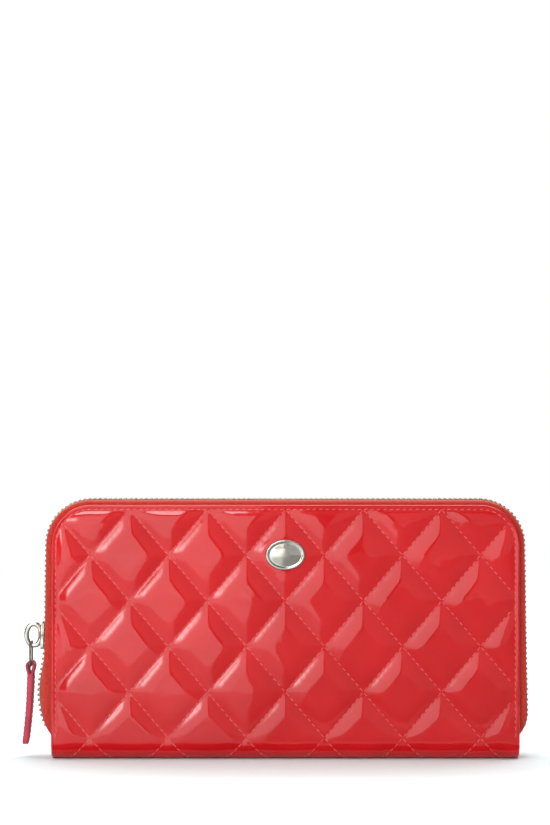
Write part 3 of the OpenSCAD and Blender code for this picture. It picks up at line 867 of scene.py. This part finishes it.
def pull_edge_paint():
    """The bead of edge paint that closes the two plies along each side."""
    parts = []
    for across in (-1, 1):
        points = []
        for f in np.linspace(0.1, 0.985, 40):
            x, z = tab_line(f)
            half = (tab_offset(f) + 0.26) * smooth_step((f - 0.1) / 0.03 + 0.25)
            for a in np.linspace(0, 2 * PI, 10, endpoint=False):
                points.append((x + half * math.cos(a), across * (TAB_HALF - 0.12 + 0.2 * math.sin(a)), z))
        parts.append((points, capped_faces(40, 10)))
    wear(outwards(join_parts("pull_edge_paint", parts, PULL)), "pull", "pull_leather")


def pull_thread():
    parts = []
    for turn in (-1, 1):
        for across in (-1, 1):
            for f in 0.16 + 0.063 * np.arange(13):
                x, z = tab_line(f)
                out = tab_offset(f) + PLY_T / 2 * (1 - TAB_THINNING * f) - 0.03
                heading = np.array([2 * TAB_SWEEP * f / TAB_LEN, 0.04 * across, 1])
                at = np.array([x + turn * out, across * 2.75, z])
                parts.append(stitch(at, heading, np.array([turn, 0, 0]), 1.7, 0.2))
    wear(join_parts("pull_thread", parts, THREAD), "pull", "pull_leather")


# ---------------------------------------------------------------- emblem
# The plaque's profile: distance in from its outline, and rise from the cover.
PLAQUE_LEVELS = [
    (0.12, -0.1), (0.0, 0.05), (0.0, 0.4), (0.12, 0.62), (0.4, 0.74), (0.8, 0.74), (1.08, 0.62), (1.3, 0.45),
    (1.6, 0.42), (2.1, 0.56), (2.8, 0.78), (3.6, 0.98), (4.5, 1.16), (5.3, 1.28), (5.9, 1.34),
]


def emblem():
    """A plain oval plaque with a raised rim, a domed middle and two prongs."""
    points = []
    for inset, rise in PLAQUE_LEVELS:
        for a in np.linspace(0, 2 * PI, 72, endpoint=False):
            x, z = oval_point(a, EMBLEM_W / 2 - inset, EMBLEM_H / 2 - inset)
            points.append((EMBLEM_X + x, -SKIN - rise, EMBLEM_Z + z))
    parts = [(points, capped_faces(len(PLAQUE_LEVELS), 72))]
    for x in (-4, 4):
        prong = [
            (x + r * math.cos(a), -SKIN + depth, EMBLEM_Z + r * math.sin(a))
            for depth, r in ((0, 0.6), (1.5, 0.6), (1.6, 0.5))
            for a in np.arange(12) * PI / 6
        ]
        parts.append((prong, capped_faces(3, 12)))
    wear(outwards(join_parts("oval_plaque", parts, SILVER)), "front_leaf", "silver_metal", "emblem_plaque")


slider_body()
slider_crown()
pull_ring()
pull_strap()
pull_edge_paint()
pull_thread()
emblem()


# ---------------------------------------------------------------- linings, card panels and gussets
def spread(count, half, margins=(0.12, 0.4)):
    """Even steps from -1 to 1 with extra lines close to both ends."""
    ends = [m / half for m in margins]
    inner = np.linspace(-1 + 2 * ends[-1], 1 - 2 * ends[-1], count)
    return np.concatenate([[-1], [-1 + e for e in ends], inner, [1 - e for e in ends[::-1]], [1]])


def wall_box(node):
    """Half width, lowest and highest z, and the |y| of the near and far face of an upright CAD wall."""
    low, high = node_box(node)
    return high[0], low[2], high[2], *sorted((abs(low[1]), abs(high[1])))


def panel(name, side, node, corner, material, relief):
    """An upright leather panel with rounded edges in a CAD wall's place; relief(x, z) is its creases."""
    half_w, low, top, near, far = wall_box(node)
    u, v = np.meshgrid(spread(60, half_w), (spread(44, (top - low) / 2) + 1) / 2)
    x, z = round_outline(u, v, half_w, low, top, corner)
    edge = np.minimum(edge_distance(x, z, half_w, top, corner), z - low)
    half_t = (far - near) / 2
    fade = np.clip(1 - np.maximum(edge, 0) / half_t, 0, 1)
    back = half_t * (1 - np.sqrt(1 - fade * fade * 0.98))
    face = np.stack([x, side * (near + back + relief(x, z)), z], -1)
    under = np.stack([x, side * (far - back), z], -1)
    return closed_sheet(name, face, under, material)


def inner_lining(side):
    """The lining of one cover, from the middle of the spine to just inside the cover's edge."""
    name = SIDES[side]
    half_w, top, corner = HALF_W - 0.5, T_TOP - 0.5, CORNER_R - 0.5
    bend_lines = np.linspace(0, 0.18, 24, endpoint=False)
    u, v = np.meshgrid(spread(84, HALF_W), np.concatenate([bend_lines, np.linspace(0.18, 1, 56)]))
    x, t = round_outline(u, v, half_w, 0, top, corner)
    depth = SKIN - PANEL_Y
    pull = groove(edge_distance(x, t, half_w, top, corner) - 1.2, 0.1, 0.35)
    face, under = skin(x, t, depth - 0.01 - pull, side), skin(x, t, depth - 0.46 + 0 * x, side)
    piece = closed_sheet(f"{name}_lining_leather", face, under, LINING)
    cross_fold(piece)
    wear(piece, None, "lining_leather", f"{name}_lining", f"{name}_fold_lining")


def card_panels(side):
    """Four stepped plies, each with a creased top edge, sewn down the middle and the sides into card slots."""
    name = SIDES[side]
    steps = []
    for k in range(1, 5):
        node = f"{name}_card_ply_{k}"
        half_w, low, top, near, _ = wall_box(node)
        steps.append((top, near))
        piece = panel(
            f"{name}_card_panel_{k}", side, node, 3, POCKET,
            lambda x, z: groove(top - 1.5 - z, 0.09, 0.28) + groove(x, 0.05, 0.6),
        )
        wear(piece, f"{name}_leaf", "lining_leather", node)
    parts = []
    for x in (-half_w + 1.6, 0, half_w - 1.6):
        for z in np.arange(12.5, steps[0][0] - 2.5, 2.6):
            near = min(y for top, y in steps if z < top - 0.4)
            at = np.array([x, side * (near + 0.02), z])
            parts.append(stitch(at, np.array([0.12, 0, 1]), np.array([0, -side, 0]), 1.9, 0.17))
    wear(join_parts(f"{name}_card_thread", parts, THREAD), f"{name}_leaf", "lining_leather")


def soft_corners(line):
    """Rounds the corners of a line of points by cutting them off three times."""
    line = np.asarray(line, float)
    for _ in range(3):
        cut = [line[0]]
        for a, b in zip(line, line[1:]):
            cut += [a * 0.75 + b * 0.25, a * 0.25 + b * 0.75]
        line = np.array([*cut, line[-1]])
    return line


GUSSET_PLAN = [(89.3, 8.6), (88.4, 7.2), (80, 6.2), (69.6, 5.35), (75, 4.4), (80.7, 3.2)]
GUSSET_T = 0.42


def gusset(side, across):
    """A folded leather gusset between a cover and the coin pocket."""
    name = SIDES[side]
    place = f"{name}_{'left' if across < 0 else 'right'}"
    low, high = node_box(f"gusset_{place}")
    plan = soft_corners(GUSSET_PLAN)
    way = np.gradient(plan, axis=0)
    way /= np.linalg.norm(way, axis=1)[:, None]
    out = np.stack([way[:, 1], -way[:, 0]], -1)
    middle = np.linspace(low[2] + 0.5, high[2] - 0.5, 22)
    heights = np.concatenate([[low[2]], middle, [high[2] - 0.12, high[2]]])
    thin = np.concatenate([[0.6], np.ones(22), [0.8, 0.35]])
    sheets = []
    for turn in (1, -1):
        flat = plan[None] + turn * thin[:, None, None] * GUSSET_T / 2 * out[None]
        z = np.broadcast_to(heights[:, None], flat.shape[:2])
        sheets.append(np.stack([across * flat[..., 0], side * flat[..., 1], z], -1))
    piece = closed_sheet(f"gusset_leather_{place}", *sheets, LINING)
    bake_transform(piece)
    wear(piece, None, "lining_leather", f"gusset_{place}")


def spine_foam_layer():
    """The thin foam under the spine's leather."""
    low, high = node_box("spine_foam")
    u, v = np.meshgrid(spread(80, high[0]), spread(10, high[1]))
    edge = np.minimum((1 - abs(u)) * high[0], (1 - abs(v)) * high[1])
    sag = 0.25 * (1 - np.clip(edge / 0.6, 0, 1)) ** 2
    top, under = (np.stack([u * high[0], v * high[1], z], -1) for z in (high[2] - sag, low[2] + sag))
    piece = closed_sheet("spine_foam_layer", top, under, FOAM)
    wear(piece, "spine_unit", "foam", "spine_foam")


for side in (FRONT, BACK):
    inner_lining(side)
    card_panels(side)
    for across in (-1, 1):
        gusset(side, across)
spine_foam_layer()


# ---------------------------------------------------------------- coin pocket
COIN_X = -68.0
COIN_PITCH = 1.6
COIN_HEM = 2.2
# Section of a coin tape's outer face: distance from the middle of the wallet, and height.
COIN_TAPE = np.array([
    (2.38, 75.0), (2.38, 79.0), (2.37, 82.6), (2.3, 83.6), (2.05, 84.2), (1.6, 84.48), (1.22, 84.53),
])
COIN_TAPE_STEPS = 155


def coin_walls(side):
    name = SIDES[side]
    node = f"coin_pocket_{name}_wall"
    half_w, low, top, _, far = wall_box(node)
    piece = panel(
        f"coin_wall_{name}", side, node, 2, LINING,
        lambda x, z: groove(top - COIN_HEM - z, 0.08, 0.3),
    )
    wear(piece, "spine_unit", "lining_leather", node)
    parts = []
    for x in np.arange(-half_w + 3.5, half_w - 3, 2.6):
        at = np.array([x, side * (far + 0.01), top - COIN_HEM])
        parts.append(stitch(at, np.array([1, 0, 0.1]), np.array([0, side, 0]), 1.9, 0.17))
    wear(join_parts(f"coin_thread_{name}", parts, THREAD), "spine_unit", "lining_leather")


def coin_tape(side):
    name = SIDES[side]
    xs = np.linspace(-77, 77, COIN_TAPE_STEPS)[:, None]
    rib = 0.02 * np.cos(np.arange(COIN_TAPE_STEPS) * PI)[:, None]
    faces = []
    for profile in (COIN_TAPE, inner_face(COIN_TAPE, 0.3, 0.4, -1)):
        y = side * (profile[None, :, 0] + rib)
        faces.append(np.stack([xs + 0 * y, y, profile[None, :, 1] + 0 * y], -1))
    piece = closed_sheet(f"coin_tape_{name}", *faces, TAPE)
    wear(piece, "spine_unit", "zip_tape", f"coin_zip_tape_{name}")


def curved_fold(name, node, span, low, high, place):
    """A strip folded between the pocket's walls: span across them, from low to high along the seam."""
    v, s = np.meshgrid(np.linspace(-1, 1, 13), spread(40, (high - low) / 2))
    along = (low + high) / 2 + s * (high - low) / 2
    bow = 0.45 * (1 - v * v)
    thick = 0.32 * np.sqrt(np.clip(1 - v ** 8, 0.1, 1))
    piece = closed_sheet(name, place(v * span, along, bow), place(v * span, along, bow + thick), LINING)
    wear(piece, "spine_unit", "lining_leather", node)


def coin_folds():
    """The folds that close the pocket's two sides and its floor."""
    for across, word in ((-1, "left"), (1, "right")):
        node = f"coin_pocket_{word}_seam"
        low, high = node_box(node)
        outer = max(abs(low[0]), abs(high[0]))
        curved_fold(
            f"coin_fold_{word}", node, high[1], low[2], high[2],
            lambda y, along, bow: np.stack([across * (outer - bow), y, along], -1),
        )
    low, high = node_box("coin_pocket_floor")
    curved_fold(
        "coin_floor_fold", "coin_pocket_floor", high[1], low[0], high[0],
        lambda y, along, bow: np.stack([along, y, low[2] + bow], -1),
    )


def coin_teeth():
    low, high = node_box("coin_zip_teeth")
    parts = []
    for side, shift in ((FRONT, 0), (BACK, COIN_PITCH / 2)):
        across = np.array([0, -side, 0])
        for x in np.arange(low[0] + 0.4 + shift, high[0] - 0.3, COIN_PITCH):
            origin = np.array([x, side * 1.85, high[2]])
            parts.append(tooth(origin, np.array([1, 0, 0]), across, np.array([0, 0, -1]), 0.6, 0.7))
    wear(outwards(join_parts("coin_shaped_teeth", parts, TEETH)), "spine_unit", "zip_metal", "coin_zip_teeth")


COIN_PLATE = mirrored([(-3.6, -1.0), (-3.1, -1.7), (-1.2, -2.0), (1.0, -2.0), (3.0, -1.5), (3.6, -0.9)])
COIN_PLATE_T = 0.7
COIN_POST = [(-3.4, -0.4), (-1.9, -0.45), (-1.6, 0), (-1.9, 0.45), (-3.4, 0.4)]


def at_coin_slider(a, b, h):
    return np.array([COIN_X + a, b, h])


def coin_slider():
    low, high = node_box("coin_slider_body")
    parts = [
        prism(COIN_PLATE, high[2] - COIN_PLATE_T, high[2], at_coin_slider),
        prism([(a, b * 0.8) for a, b in COIN_PLATE], low[2], low[2] + COIN_PLATE_T, at_coin_slider),
        prism(COIN_POST, low[2] + 0.2, high[2] - 0.2, at_coin_slider),
    ]
    piece = finish_mesh(join_parts("coin_slider_plates", parts, SILVER), bevel=0.16)
    wear(piece, "coin_slider", "silver_metal", "coin_slider_body")


def coin_crown():
    """The loop that holds the puller's pin, round at the top and square where it meets the slider."""
    low, high = node_box("coin_slider_crown")
    middle, pin = (low[0] + high[0]) / 2, high[2] - 2.4

    def outline(a):
        above = math.sin(a) > 0
        return oval_point(a, 2.4, 2.4 if above else pin - low[2] + 0.1, 1.0 if above else 0.6)

    piece = banded_loop(
        "coin_slider_loop", 40, mirrored([(0, -0.5), (0.2, -0.85), (0.8, -0.85), (1, -0.5)]),
        lambda a: oval_point(a, 1.32, 1.32), outline,
        lambda x, z, y: (middle + x, y, pin + z),
    )
    wear(piece, "coin_slider", "silver_metal", "coin_slider_crown")


def coin_puller():
    """A flat metal puller with two cheeks, a pin and a slot."""
    low, high = node_box("coin_pull")
    pin_z = (low[2] + high[2]) / 2
    length = high[0] - COIN_X

    def flat(a, b, h):
        return at_coin_slider(a, b, pin_z + h)

    parts = [tube([(COIN_X, y, pin_z) for y in np.linspace(-1.98, 1.98, 5)], 0.42)]
    bars = [(-0.55, 4.2, 1.35, 1.98, 0.44), (3.6, length - 1.2, 1.0, 1.97, 0.43)]
    for side in (-1, 1):
        for a0, a1, b0, b1, half in bars:
            bar = [(a0, side * b0), (a0, side * b1), (a1, side * b1), (a1, side * b0)]
            parts.append(prism(bar, -half, half, flat))
    for near, far in ((3.4, 5.2), (length - 3.2, length - 0.05)):
        bar = mirrored([(near, -1.6), (near + 0.4, -1.96), (far - 0.9, -1.96), (far, -1.0)])
        parts.append(prism(bar, -0.42, 0.42, flat))
    piece = finish_mesh(join_parts("coin_metal_puller", parts, SILVER), bevel=0.14, segments=2)
    wear(piece, "coin_puller", "silver_metal", "coin_pull")


for side in (FRONT, BACK):
    coin_walls(side)
    coin_tape(side)
coin_folds()
coin_teeth()
coin_slider()
coin_crown()
coin_puller()


# ---------------------------------------------------------------- CAD nodes that stay
SLOT_PAINT = {
    "patent_leather": PATENT,
    "lining_leather": LINING,
    "pull_leather": PULL,
    "zip_tape": TAPE,
    "zip_metal": TEETH,
    "silver_metal": SILVER,
    "foam": FOAM,
    "board": BOARD,
}


def paint_frame():
    """Every CAD node takes the finish of its material slot."""
    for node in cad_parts.values():
        slots = [key for key in SLOT_PAINT if any(m and key in m.name for m in node.data.materials)]
        node.data.materials.clear()
        node.data.materials.append(SLOT_PAINT[slots[0]] if slots else BOARD)


paint_frame()


# ---------------------------------------------------------------- stage, light and camera
EYE = np.array([-4.2, -1100.0, 140.7])
FRAME_HEIGHT = 334.1
LENS_SENSOR = 36
STAGE_HALF, STAGE_DEPTH, STAGE_CURVE, STAGE_TOP = 2500, 1500, 500, 2500
HAZE_CLEAR, HAZE_FULL, HAZE_RADIUS, HAZE_TOP, HAZE_Z = 450, 1300, 4500, 6000, 0.4

# Name, place, target, width, height and watts of each soft light.
LIGHTS = [
    ("overhead", (0, 500, 1500), (0, 350, 0), 2400, 1500, 36),
    ("left_box", (-412, -1150, 240), (-412, 0, 240), 800, 760, 4.2),
    ("right_box", (810, -1150, 400), (810, 0, 400), 1500, 1000, 2.6),
    ("low_left_box", (-612, -700, 2), (-612, -700, 100), 1200, 900, 3.0),
    ("top_strip", (-330, -700, 680), (-40, 0, 90), 620, 190, 3.8),
    ("wall", (0, 700, 1500), (0, 2000, 600), 2600, 600, 35),
]

# Name, lowest and highest corner and grey of each card that is seen only in reflections.
CARDS = [
    ("dark_card", (-14, -1180, 0), (62, -1180, 900), 0.012),
    ("floor_card", (-12, -1180, 3), (1400, -44, 3), 0.3),
    # The near card is near black and stands for the wallet's shadow on the floor just in front of it: a
    # painted shadow, seen only in the leather's reflections.
    ("near_card", (-400, -44, 0.5), (400, -14, 0.5), 0.02),
]
for k, (left, right) in enumerate([(-1400, -330), (-170, 170), (330, 1400)]):
    CARDS.append((f"rear_floor_card_{k}", (left, 16, 1), (right, 1180, 1), 0.12))
    CARDS.append((f"rear_card_{k}", (left, 1180, 0), (right, 1180, 900), 0.03))


def look_from(obj, place, target):
    obj.location = tuple(c * MM for c in place)
    aim = np.array(target, float) - np.array(place, float)
    obj.rotation_mode = "QUATERNION"
    obj.rotation_quaternion = Vector(aim).to_track_quat("-Z", "Y")


def air():
    """Plain white light from everywhere."""
    world = bpy.data.worlds.new("studio_air")
    world.use_nodes = True
    background = next(n for n in world.node_tree.nodes if n.type == "BACKGROUND")
    background.inputs["Color"].default_value = (1, 1, 1, 1)
    background.inputs["Strength"].default_value = 0.22
    scene.world = world


def stage_sweep():
    """A pale floor, and a wall that it curves up into; the wall only throws light and gives reflections."""
    floor = [(-STAGE_DEPTH, 0), (-300, 0), (600, 0), (STAGE_DEPTH, 0)]
    wall = floor[-1:]
    for a in np.linspace(0.1, PI / 2, 12):
        wall.append((STAGE_DEPTH + STAGE_CURVE * math.sin(a), STAGE_CURVE - STAGE_CURVE * math.cos(a)))
    wall.append((STAGE_DEPTH + STAGE_CURVE, STAGE_TOP))
    paint = plain_paint("studio_floor", (0.72, 0.77, 0.775), (0.73, 0.78, 0.785))
    for name, profile in (("studio_floor", floor), ("studio_wall", wall)):
        points = [(x, y, z) for y, z in profile for x in (-STAGE_HALF, 0, STAGE_HALF)]
        sweep = mesh_object(name, points, grid_faces(len(profile), 3), paint)
        sweep.visible_camera = name == "studio_floor"


def glowing_air(name, falloff, scale, mixer):
    """A clear material that glows by distance from its object's middle; returns it and the nodes to set."""
    material = bpy.data.materials.new(name)
    material.use_nodes = True
    nodes, links = material.node_tree.nodes, material.node_tree.links
    nodes.clear()
    place, mapping = nodes.new("ShaderNodeTexCoord"), nodes.new("ShaderNodeMapping")
    gradient, level = nodes.new("ShaderNodeTexGradient"), nodes.new("ShaderNodeMapRange")
    clear, glow = nodes.new("ShaderNodeBsdfTransparent"), nodes.new("ShaderNodeEmission")
    both, output = nodes.new(mixer), nodes.new("ShaderNodeOutputMaterial")
    mapping.inputs["Scale"].default_value = scale
    gradient.gradient_type = falloff
    shader_inputs = [socket for socket in both.inputs if socket.type == "SHADER"]
    links.new(place.outputs["Object"], mapping.inputs["Vector"])
    links.new(mapping.outputs["Vector"], gradient.inputs["Vector"])
    links.new(gradient.outputs["Fac"], level.inputs["Value"])
    links.new(clear.outputs["BSDF"], shader_inputs[0])
    links.new(glow.outputs["Emission"], shader_inputs[1])
    links.new(both.outputs["Shader"], output.inputs["Surface"])
    return material, links, level, glow, both


def backdrop():
    """Pale air that only the camera sees: clear over the near floor, and plain white further away and up."""
    scale = (1 / (HAZE_FULL * MM), 1 / (HAZE_FULL * MM), 0)
    material, links, level, _, both = glowing_air("pale_backdrop", "SPHERICAL", scale, "ShaderNodeMixShader")
    level.interpolation_type = "SMOOTHSTEP"
    level.inputs["From Min"].default_value = 1 - HAZE_CLEAR / HAZE_FULL
    level.inputs["From Max"].default_value = 0
    links.new(level.outputs["Result"], both.inputs["Fac"])
    rings = [(HAZE_CLEAR, HAZE_Z), (HAZE_FULL, HAZE_Z), (HAZE_RADIUS, HAZE_Z), (HAZE_RADIUS, HAZE_TOP)]
    points = [(r * math.cos(a), r * math.sin(a), z) for r, z in rings for a in np.arange(48) * PI / 24]
    faces = grid_faces(len(rings), 48, close_cols=True)
    wall = mesh_object("pale_backdrop", points, faces, material, smooth=False)
    wall.visible_diffuse = False
    wall.visible_glossy = False
    wall.visible_shadow = False


def glow_card(name, place, target, width, height, strength):
    """A card that glows most in its middle and fades softly to its edges."""
    scale = (2 / (width * MM), 2 / (height * MM), 1)
    material, links, level, glow, _ = glowing_air(name, "QUADRATIC_SPHERE", scale, "ShaderNodeAddShader")
    level.inputs["To Max"].default_value = strength
    links.new(level.outputs["Result"], glow.inputs["Strength"])
    points = [(x * width / 2, y * height / 2, 0) for x, y in ((-1, -1), (1, -1), (1, 1), (-1, 1))]
    card = mesh_object(name, points, [(0, 1, 2, 3)], material)
    card.visible_camera = False
    look_from(card, place, target)


def reflected_card(name, low, high, shade):
    (x0, y0, z0), (x1, y1, z1) = low, high
    corners = [(x0, y0, z0), (x1, y0, z0), (x1, y1, z1), (x0, y1, z1)]
    card = mesh_object(name, corners, [(0, 1, 2, 3)], plain_paint(name, (shade,) * 3, (shade * 1.1,) * 3))
    card.visible_camera = False
    card.visible_diffuse = False
    card.visible_shadow = False


def soft_light(name, place, target, width, height, watts):
    data = bpy.data.lights.new(name, "AREA")
    data.shape = "RECTANGLE"
    data.size, data.size_y = width * MM, height * MM
    data.energy = watts
    lamp = bpy.data.objects.new(name, data)
    scene.collection.objects.link(lamp)
    lamp.visible_camera = False
    look_from(lamp, place, target)


def aim_camera():
    data = bpy.data.cameras.new("camera")
    data.sensor_width = LENS_SENSOR
    data.lens = LENS_SENSOR * (-EYE[1] - SKIN) / FRAME_HEIGHT
    data.clip_start, data.clip_end = 0.01, 20
    camera = bpy.data.objects.new("camera", data)
    scene.collection.objects.link(camera)
    look_from(camera, EYE, EYE + np.array([0, 1000, 0]))
    scene.camera = camera


def studio():
    scene.view_settings.view_transform = "Standard"
    air()
    stage_sweep()
    backdrop()
    for light in LIGHTS:
        soft_light(*light)
    glow_card("left_glow", (-580, -1000, 330), (-60, 0, 60), 440, 560, 14)
    for card in CARDS:
        reflected_card(*card)
    aim_camera()


studio()
